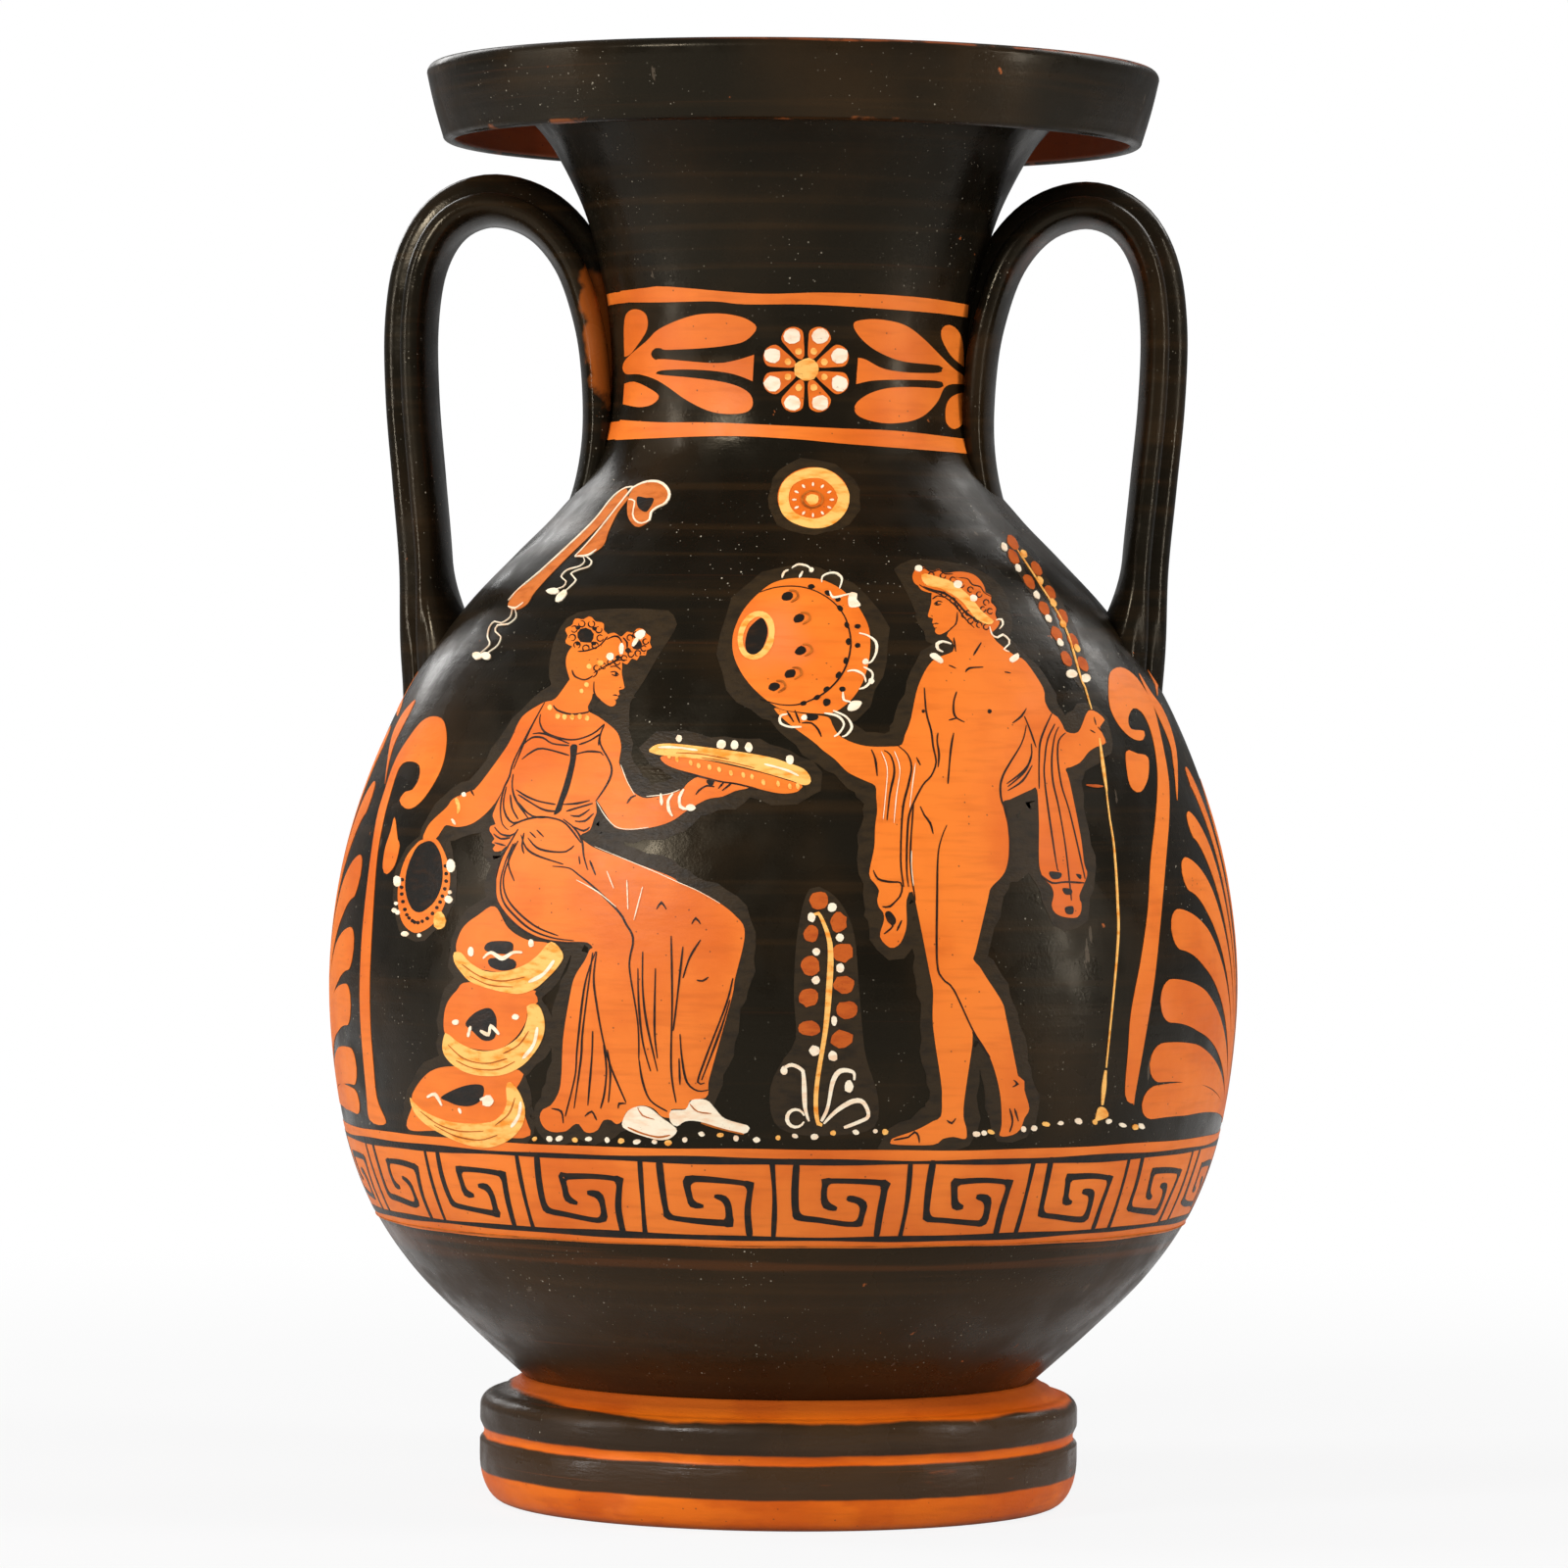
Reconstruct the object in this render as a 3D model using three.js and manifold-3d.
// A pelike: a pear-shaped two-handled jar of fired clay, thrown in sections that are luted together.
// Millimetres, +Z up. The origin is the centre of the resting ring, and the handles lie along X.

import * as THREE from "three";
import { mergeVertices } from "three/addons/utils/BufferGeometryUtils.js";
import Module from "manifold-3d";

const wasm = await Module();
wasm.setup();

// Heights of the sections, from the ground up
const footHeight = 33;
const lowerBodyHeight = 101;
const upperBodyHeight = 128;
const neckTaperHeight = 31;
const neckFlareHeight = 69.3;
const mouthHeight = 17.7;

// Outer radii where the sections meet, and at the waist of the neck
const bodyBaseRadius = 67.6;
const bellyRadius = 120.3;
const neckFootRadius = 61;
const neckWaistRadius = 47.3;
const mouthJointRadius = 66.5;

// Walls, and the joints between sections: a thin layer of slip fills each seam
const bodyWall = 6.5;
const neckWall = 5.5;
const floorThickness = 8;
const floorCornerInset = 8;
const seamLap = 3;
const slipLayer = 0.3;

// Foot: a low disc, a scored line, and a rounded moulding over a hollow underside
const footRadius = 79.3;
const footEdgeInset = 6.3;
const footEdgeRise = 12;
const footLineHeight = 17.5;
const footLineWidth = 1.6;
const footLineDepth = 1.1;
const footLineRise = 2.2;
const footMouldingHeight = 25;
const footMouldingInset = 4;
const footMouldingDrop = 3.8;
const footCollarInset = 3;
const footCollarDrop = 2;
const footSeatMargin = 0.5;
const recessRadius = 66;
const recessTopRadius = 50;
const recessHeight = 27;

// Mouth: a lip that spreads from the neck and carries an overhanging collar
const rimRadius = 97;
const rimLean = 5.1;
const rimRounding = 2.5;
const rimTopWidth = 8;
const collarDrop = 20.5;
const collarWall = 3;
const lipDrop = 8.3;
const lipFillet = 2;

// Handles: straps with two side beads and a middle ridge, bent from the neck's foot over to the shoulder
const handleWidth = 30;
const handleBeadRadius = 3.4;
const handleRidgeRadius = 5;
const neckLegStandoff = 2.7;
const handleTopDrop = 19.7;
const handleRootDrop = 59;
const leftHandle = { name: "left_handle", bellyInset: 21.1, thickness: 14.2, turn: Math.PI };
const rightHandle = { name: "right_handle", bellyInset: 23.1, thickness: 12.5, turn: 0 };

// Counts of facets
const stepsAround = 40;
const stepsPerSpan = 2;
const stepsPerRound = 3;
const stepsAlongHandle = 30;
const stepsPerBead = 2;

// How far round a bead, and round the middle ridge past its half circle, the strap's outline follows it
const beadSweep = THREE.MathUtils.degToRad(140);
const ridgeUndercut = THREE.MathUtils.degToRad(10);

// Shares of the way from one corner of the outer outline to the next, across and up
const lowerBodyShares = [
  [0.302, 0.144],
  [0.586, 0.297],
  [0.797, 0.47],
  [0.935, 0.693],
];
const upperBodyShares = [
  [0.035, 0.219],
  [0.143, 0.418],
  [0.337, 0.629],
  [0.578, 0.793],
  [0.809, 0.909],
];
const neckTaperShares = [[0.745, 0.435]];
const neckFlareShares = [
  [0.057, 0.317],
  [0.307, 0.628],
  [0.625, 0.837],
];
const lipShares = [[0.393, 0.755]];

// The line through the middle of a handle: shares of its span out from the neck, and of its height
const handlePathShares = [
  [0.163, 0.351],
  [0.053, 0.451],
  [0, 0.559],
  [0.006, 0.681],
  [0.053, 0.788],
  [0.167, 0.899],
  [0.357, 0.974],
  [0.602, 1],
  [0.816, 0.971],
  [0.949, 0.895],
  [1, 0.781],
  [0.992, 0.638],
  [0.951, 0.48],
  [0.91, 0.322],
  [0.898, 0.165],
  [0.857, 0],
];
const ridgeShare = 0.64;

const point = (radius, height) => new THREE.Vector2(radius, height);
const { lerp, smoothstep } = THREE.MathUtils;

// Corners of the outer outline
const baseCorner = point(bodyBaseRadius, footHeight);
const bellyCorner = point(bellyRadius, baseCorner.y + lowerBodyHeight);
const neckFootCorner = point(neckFootRadius, bellyCorner.y + upperBodyHeight);
const waistCorner = point(neckWaistRadius, neckFootCorner.y + neckTaperHeight);
const mouthCorner = point(mouthJointRadius, waistCorner.y + neckFlareHeight);
const rimTop = mouthCorner.y + mouthHeight;

// The collar leans in towards its lower edge, and its inner wall follows its outer wall
const collarBottom = rimTop - collarDrop;
const collarBottomRadius = rimRadius - rimLean;
const lipUnderside = rimTop - lipDrop;
const collarInnerRadiusAt = (height) =>
  lerp(collarBottomRadius, rimRadius, (height - collarBottom) / (collarDrop - rimRounding)) - collarWall;
const filletEnd = point(collarInnerRadiusAt(lipUnderside - lipFillet), lipUnderside - lipFillet);
const lipCorner = point(filletEnd.x - lipFillet, lipUnderside);

// Points at the given shares of the way from one corner to another
function between(from, to, shares) {
  return shares.map(([across, up]) => point(lerp(from.x, to.x, across), lerp(from.y, to.y, up)));
}

// The point a given length along the line from one point towards the next
function stepAlong(from, to, length) {
  return to.clone().sub(from).setLength(length).add(from);
}

// A quarter of an ellipse between two points, which leaves the first one level or upright
function quarterRound(from, to, leavesLevel) {
  return Array.from({ length: stepsPerRound + 1 }, (_, step) => {
    const angle = (step / stepsPerRound) * (Math.PI / 2);
    const early = Math.sin(angle);
    const late = 1 - Math.cos(angle);
    return leavesLevel
      ? point(lerp(from.x, to.x, early), lerp(from.y, to.y, late))
      : point(lerp(from.x, to.x, late), lerp(from.y, to.y, early));
  });
}

// An outline moved sideways by a distance that may change along it: outwards where it is positive
function moveSideways(outline, distanceAt) {
  return outline.map((place, index) => {
    const before = outline[Math.max(index - 1, 0)];
    const after = outline[Math.min(index + 1, outline.length - 1)];
    const along = after.clone().sub(before).normalize();
    const distance = distanceAt(index);
    return point(place.x + along.y * distance, place.y - along.x * distance);
  });
}

// The jar's outside from the foot joint to the collar as one smooth curve, and the steps on it where seams lie
const sections = [
  [baseCorner, lowerBodyShares, bellyCorner],
  [bellyCorner, upperBodyShares, neckFootCorner],
  [neckFootCorner, neckTaperShares, waistCorner],
  [waistCorner, neckFlareShares, mouthCorner],
  [mouthCorner, lipShares, lipCorner],
];
const curvePoints = [baseCorner];
for (const [from, shares, to] of sections) {
  curvePoints.push(...between(from, to, shares), to);
}
const outerOutline = new THREE.SplineCurve(curvePoints).getPoints((curvePoints.length - 1) * stepsPerSpan);
const stepOf = (corner) => curvePoints.indexOf(corner) * stepsPerSpan;
const bellySeam = stepOf(bellyCorner);
const neckSeam = stepOf(neckFootCorner);
const mouthSeam = stepOf(mouthCorner);

// The inside follows the outside one wall further in, and the wall thins from the belly up to the neck
const wallAt = (step) => lerp(bodyWall, neckWall, smoothstep(step, bellySeam, neckSeam));
const innerOutline = moveSideways(outerOutline, (step) => -wallAt(step));

// A seam comes out higher on the inside than on the outside
const seamInside = (seam) => stepAlong(innerOutline[seam], innerOutline[seam + 1], seamLap);

// The outside of a section that sits on the seam below it, over the slip layer
function outsideFrom(seam, end) {
  const [first, ...rest] = outerOutline.slice(seam, end);
  return [stepAlong(first, rest[0], slipLayer), ...rest];
}

// The inside of the same section, from its top down to that seam
function insideDownTo(seam, start) {
  const next = innerOutline[seam + 1];
  return [...innerOutline.slice(seam + 1, start).reverse(), stepAlong(seamInside(seam), next, slipLayer)];
}

const glossBlack = () => new THREE.MeshStandardMaterial({ color: 0x1d1812, roughness: 0.35, metalness: 0 });
const firedClay = () => new THREE.MeshStandardMaterial({ color: 0xc9650f, roughness: 0.6, metalness: 0 });

// A named solid turned round Z from a profile of radii and heights
function turned(name, profile, material) {
  const geometry = new THREE.LatheGeometry(profile, stepsAround).rotateX(Math.PI / 2);
  const mesh = new THREE.Mesh(geometry, material);
  mesh.name = name;
  return mesh;
}

// A profile that encloses a ring of clay ends where it starts
const closed = (profile) => [...profile, profile[0]];

// The foot ring: rounded at the ground, scored once round, rounded over the top, hollow below
function makeFoot() {
  const lineTop = footLineHeight + footLineWidth;
  const mouldingCorner = point(footRadius - footMouldingInset, footMouldingHeight + footMouldingDrop);
  const seatEdge = bodyBaseRadius + footSeatMargin;
  return turned(
    "foot",
    closed([
      point(recessRadius, 0),
      ...quarterRound(point(footRadius - footEdgeInset, 0), point(footRadius, footEdgeRise), true),
      point(footRadius, footLineHeight - footLineDepth),
      point(footRadius - footLineDepth, footLineHeight),
      point(footRadius - footLineDepth, lineTop),
      point(footRadius, lineTop + footLineRise),
      ...quarterRound(point(footRadius, footMouldingHeight), mouldingCorner, false),
      point(seatEdge + footCollarInset, footHeight - footCollarDrop),
      point(seatEdge, footHeight),
      point(recessTopRadius, footHeight),
      ...quarterRound(point(recessTopRadius, recessHeight), point(recessRadius, 0), true).slice(0, -1),
    ]),
    firedClay(),
  );
}

// The lower bowl: a flat floor on the foot and a wall up to the widest place
function makeLowerBody() {
  const underside = footHeight + slipLayer;
  const floorTop = underside + floorThickness;
  const wallAboveFloor = innerOutline.slice(0, bellySeam + 1).filter((place) => place.y > floorTop + slipLayer);
  return turned(
    "lower_body",
    [
      point(0, underside),
      point(bodyBaseRadius, underside),
      ...outerOutline.slice(1, bellySeam + 1),
      seamInside(bellySeam),
      ...wallAboveFloor.reverse(),
      point(bodyBaseRadius - floorCornerInset, floorTop),
      point(0, floorTop),
    ],
    glossBlack(),
  );
}

// The shoulder section, from the belly up to the foot of the neck
function makeUpperBody() {
  return turned(
    "upper_body",
    closed([
      ...outsideFrom(bellySeam, neckSeam + 1),
      seamInside(neckSeam),
      ...insideDownTo(bellySeam, neckSeam + 1),
    ]),
    glossBlack(),
  );
}

// The neck, which narrows to its waist and then flares
function makeNeck() {
  return turned(
    "neck",
    closed([
      ...outsideFrom(neckSeam, mouthSeam + 1),
      seamInside(mouthSeam),
      ...insideDownTo(neckSeam, mouthSeam + 1),
    ]),
    glossBlack(),
  );
}

// The mouth: the underside of the lip, the collar round its edge, the flat top and the throat
function makeMouthRim() {
  const collarMiddleRadius = collarBottomRadius - collarWall / 2;
  const edgeRise = collarWall / 2;
  return turned(
    "mouth_rim",
    closed([
      ...outsideFrom(mouthSeam, outerOutline.length - 1),
      ...quarterRound(lipCorner, filletEnd, true),
      ...quarterRound(
        point(collarInnerRadiusAt(collarBottom + edgeRise), collarBottom + edgeRise),
        point(collarMiddleRadius, collarBottom),
        false,
      ),
      point(collarBottomRadius + collarWall * (rimLean / collarDrop), collarBottom + edgeRise),
      ...quarterRound(point(rimRadius, rimTop - rimRounding), point(rimRadius - rimRounding, rimTop), false),
      point(rimRadius - rimRounding - rimTopWidth, rimTop),
      ...insideDownTo(mouthSeam, outerOutline.length - 1),
    ]),
    glossBlack(),
  );
}

// The section of a strap, with its ridged face towards -y and its plain face towards the hole, +y
function strapSection(thickness) {
  const ridgeTop = thickness * ridgeShare;
  const beadCentre = handleWidth / 2 - handleBeadRadius;
  return new THREE.Shape()
    .absarc(beadCentre, 0, handleBeadRadius, 0, -beadSweep, true)
    .absarc(0, handleRidgeRadius - ridgeTop, handleRidgeRadius, ridgeUndercut, -Math.PI - ridgeUndercut, true)
    .absarc(-beadCentre, 0, handleBeadRadius, beadSweep - Math.PI, -Math.PI, true)
    .absellipse(0, 0, handleWidth / 2, thickness - ridgeTop, Math.PI, 0, true);
}

// The middle line of a handle that leans on the neck, arches over and comes down short of the belly's radius
function handlePath(bellyInset) {
  const neckLegRadius = neckWaistRadius + neckLegStandoff;
  const span = bellyRadius - bellyInset - neckLegRadius;
  const rootHeight = neckFootCorner.y - handleRootDrop;
  const topHeight = mouthCorner.y - handleTopDrop;
  return new THREE.CatmullRomCurve3(
    handlePathShares.map(
      ([out, up]) => new THREE.Vector3(neckLegRadius + span * out, 0, lerp(rootHeight, topHeight, up)),
    ),
  );
}

// A geometry's closed surface as a solid that can be cut
function toSolid(geometry) {
  geometry.deleteAttribute("normal");
  geometry.deleteAttribute("uv");
  const merged = mergeVertices(geometry);
  return new wasm.Manifold(
    new wasm.Mesh({
      numProp: 3,
      vertProperties: merged.attributes.position.array,
      triVerts: new Uint32Array(merged.index.array),
    }),
  );
}

// A cut solid's surface as a geometry
function toGeometry(solid) {
  const { vertProperties, triVerts } = solid.getMesh();
  const geometry = new THREE.BufferGeometry();
  geometry.setAttribute("position", new THREE.BufferAttribute(vertProperties, 3));
  geometry.setIndex(new THREE.BufferAttribute(triVerts, 1));
  geometry.computeVertexNormals();
  return geometry;
}

// The jar filled solid and one slip layer larger, which shapes the feet of the handles
function jarEnvelope() {
  const skin = moveSideways(outerOutline, () => slipLayer);
  const profile = [point(0, skin[0].y), ...skin, point(0, skin.at(-1).y)];
  return toSolid(new THREE.LatheGeometry(profile, stepsAround).rotateX(Math.PI / 2));
}

// A strap handle, trimmed where it lies on the neck and the shoulder
function makeHandle({ name, bellyInset, thickness, turn }, envelope) {
  const strap = new THREE.ExtrudeGeometry(strapSection(thickness), {
    extrudePath: handlePath(bellyInset),
    steps: stepsAlongHandle,
    curveSegments: stepsPerBead,
  }).rotateZ(turn);
  const mesh = new THREE.Mesh(toGeometry(toSolid(strap).subtract(envelope)), glossBlack());
  mesh.name = name;
  return mesh;
}

const pelike = new THREE.Group();
const envelope = jarEnvelope();
pelike.add(makeFoot(), makeLowerBody(), makeUpperBody(), makeNeck(), makeMouthRim());
pelike.add(makeHandle(leftHandle, envelope), makeHandle(rightHandle, envelope));

export default pelike;
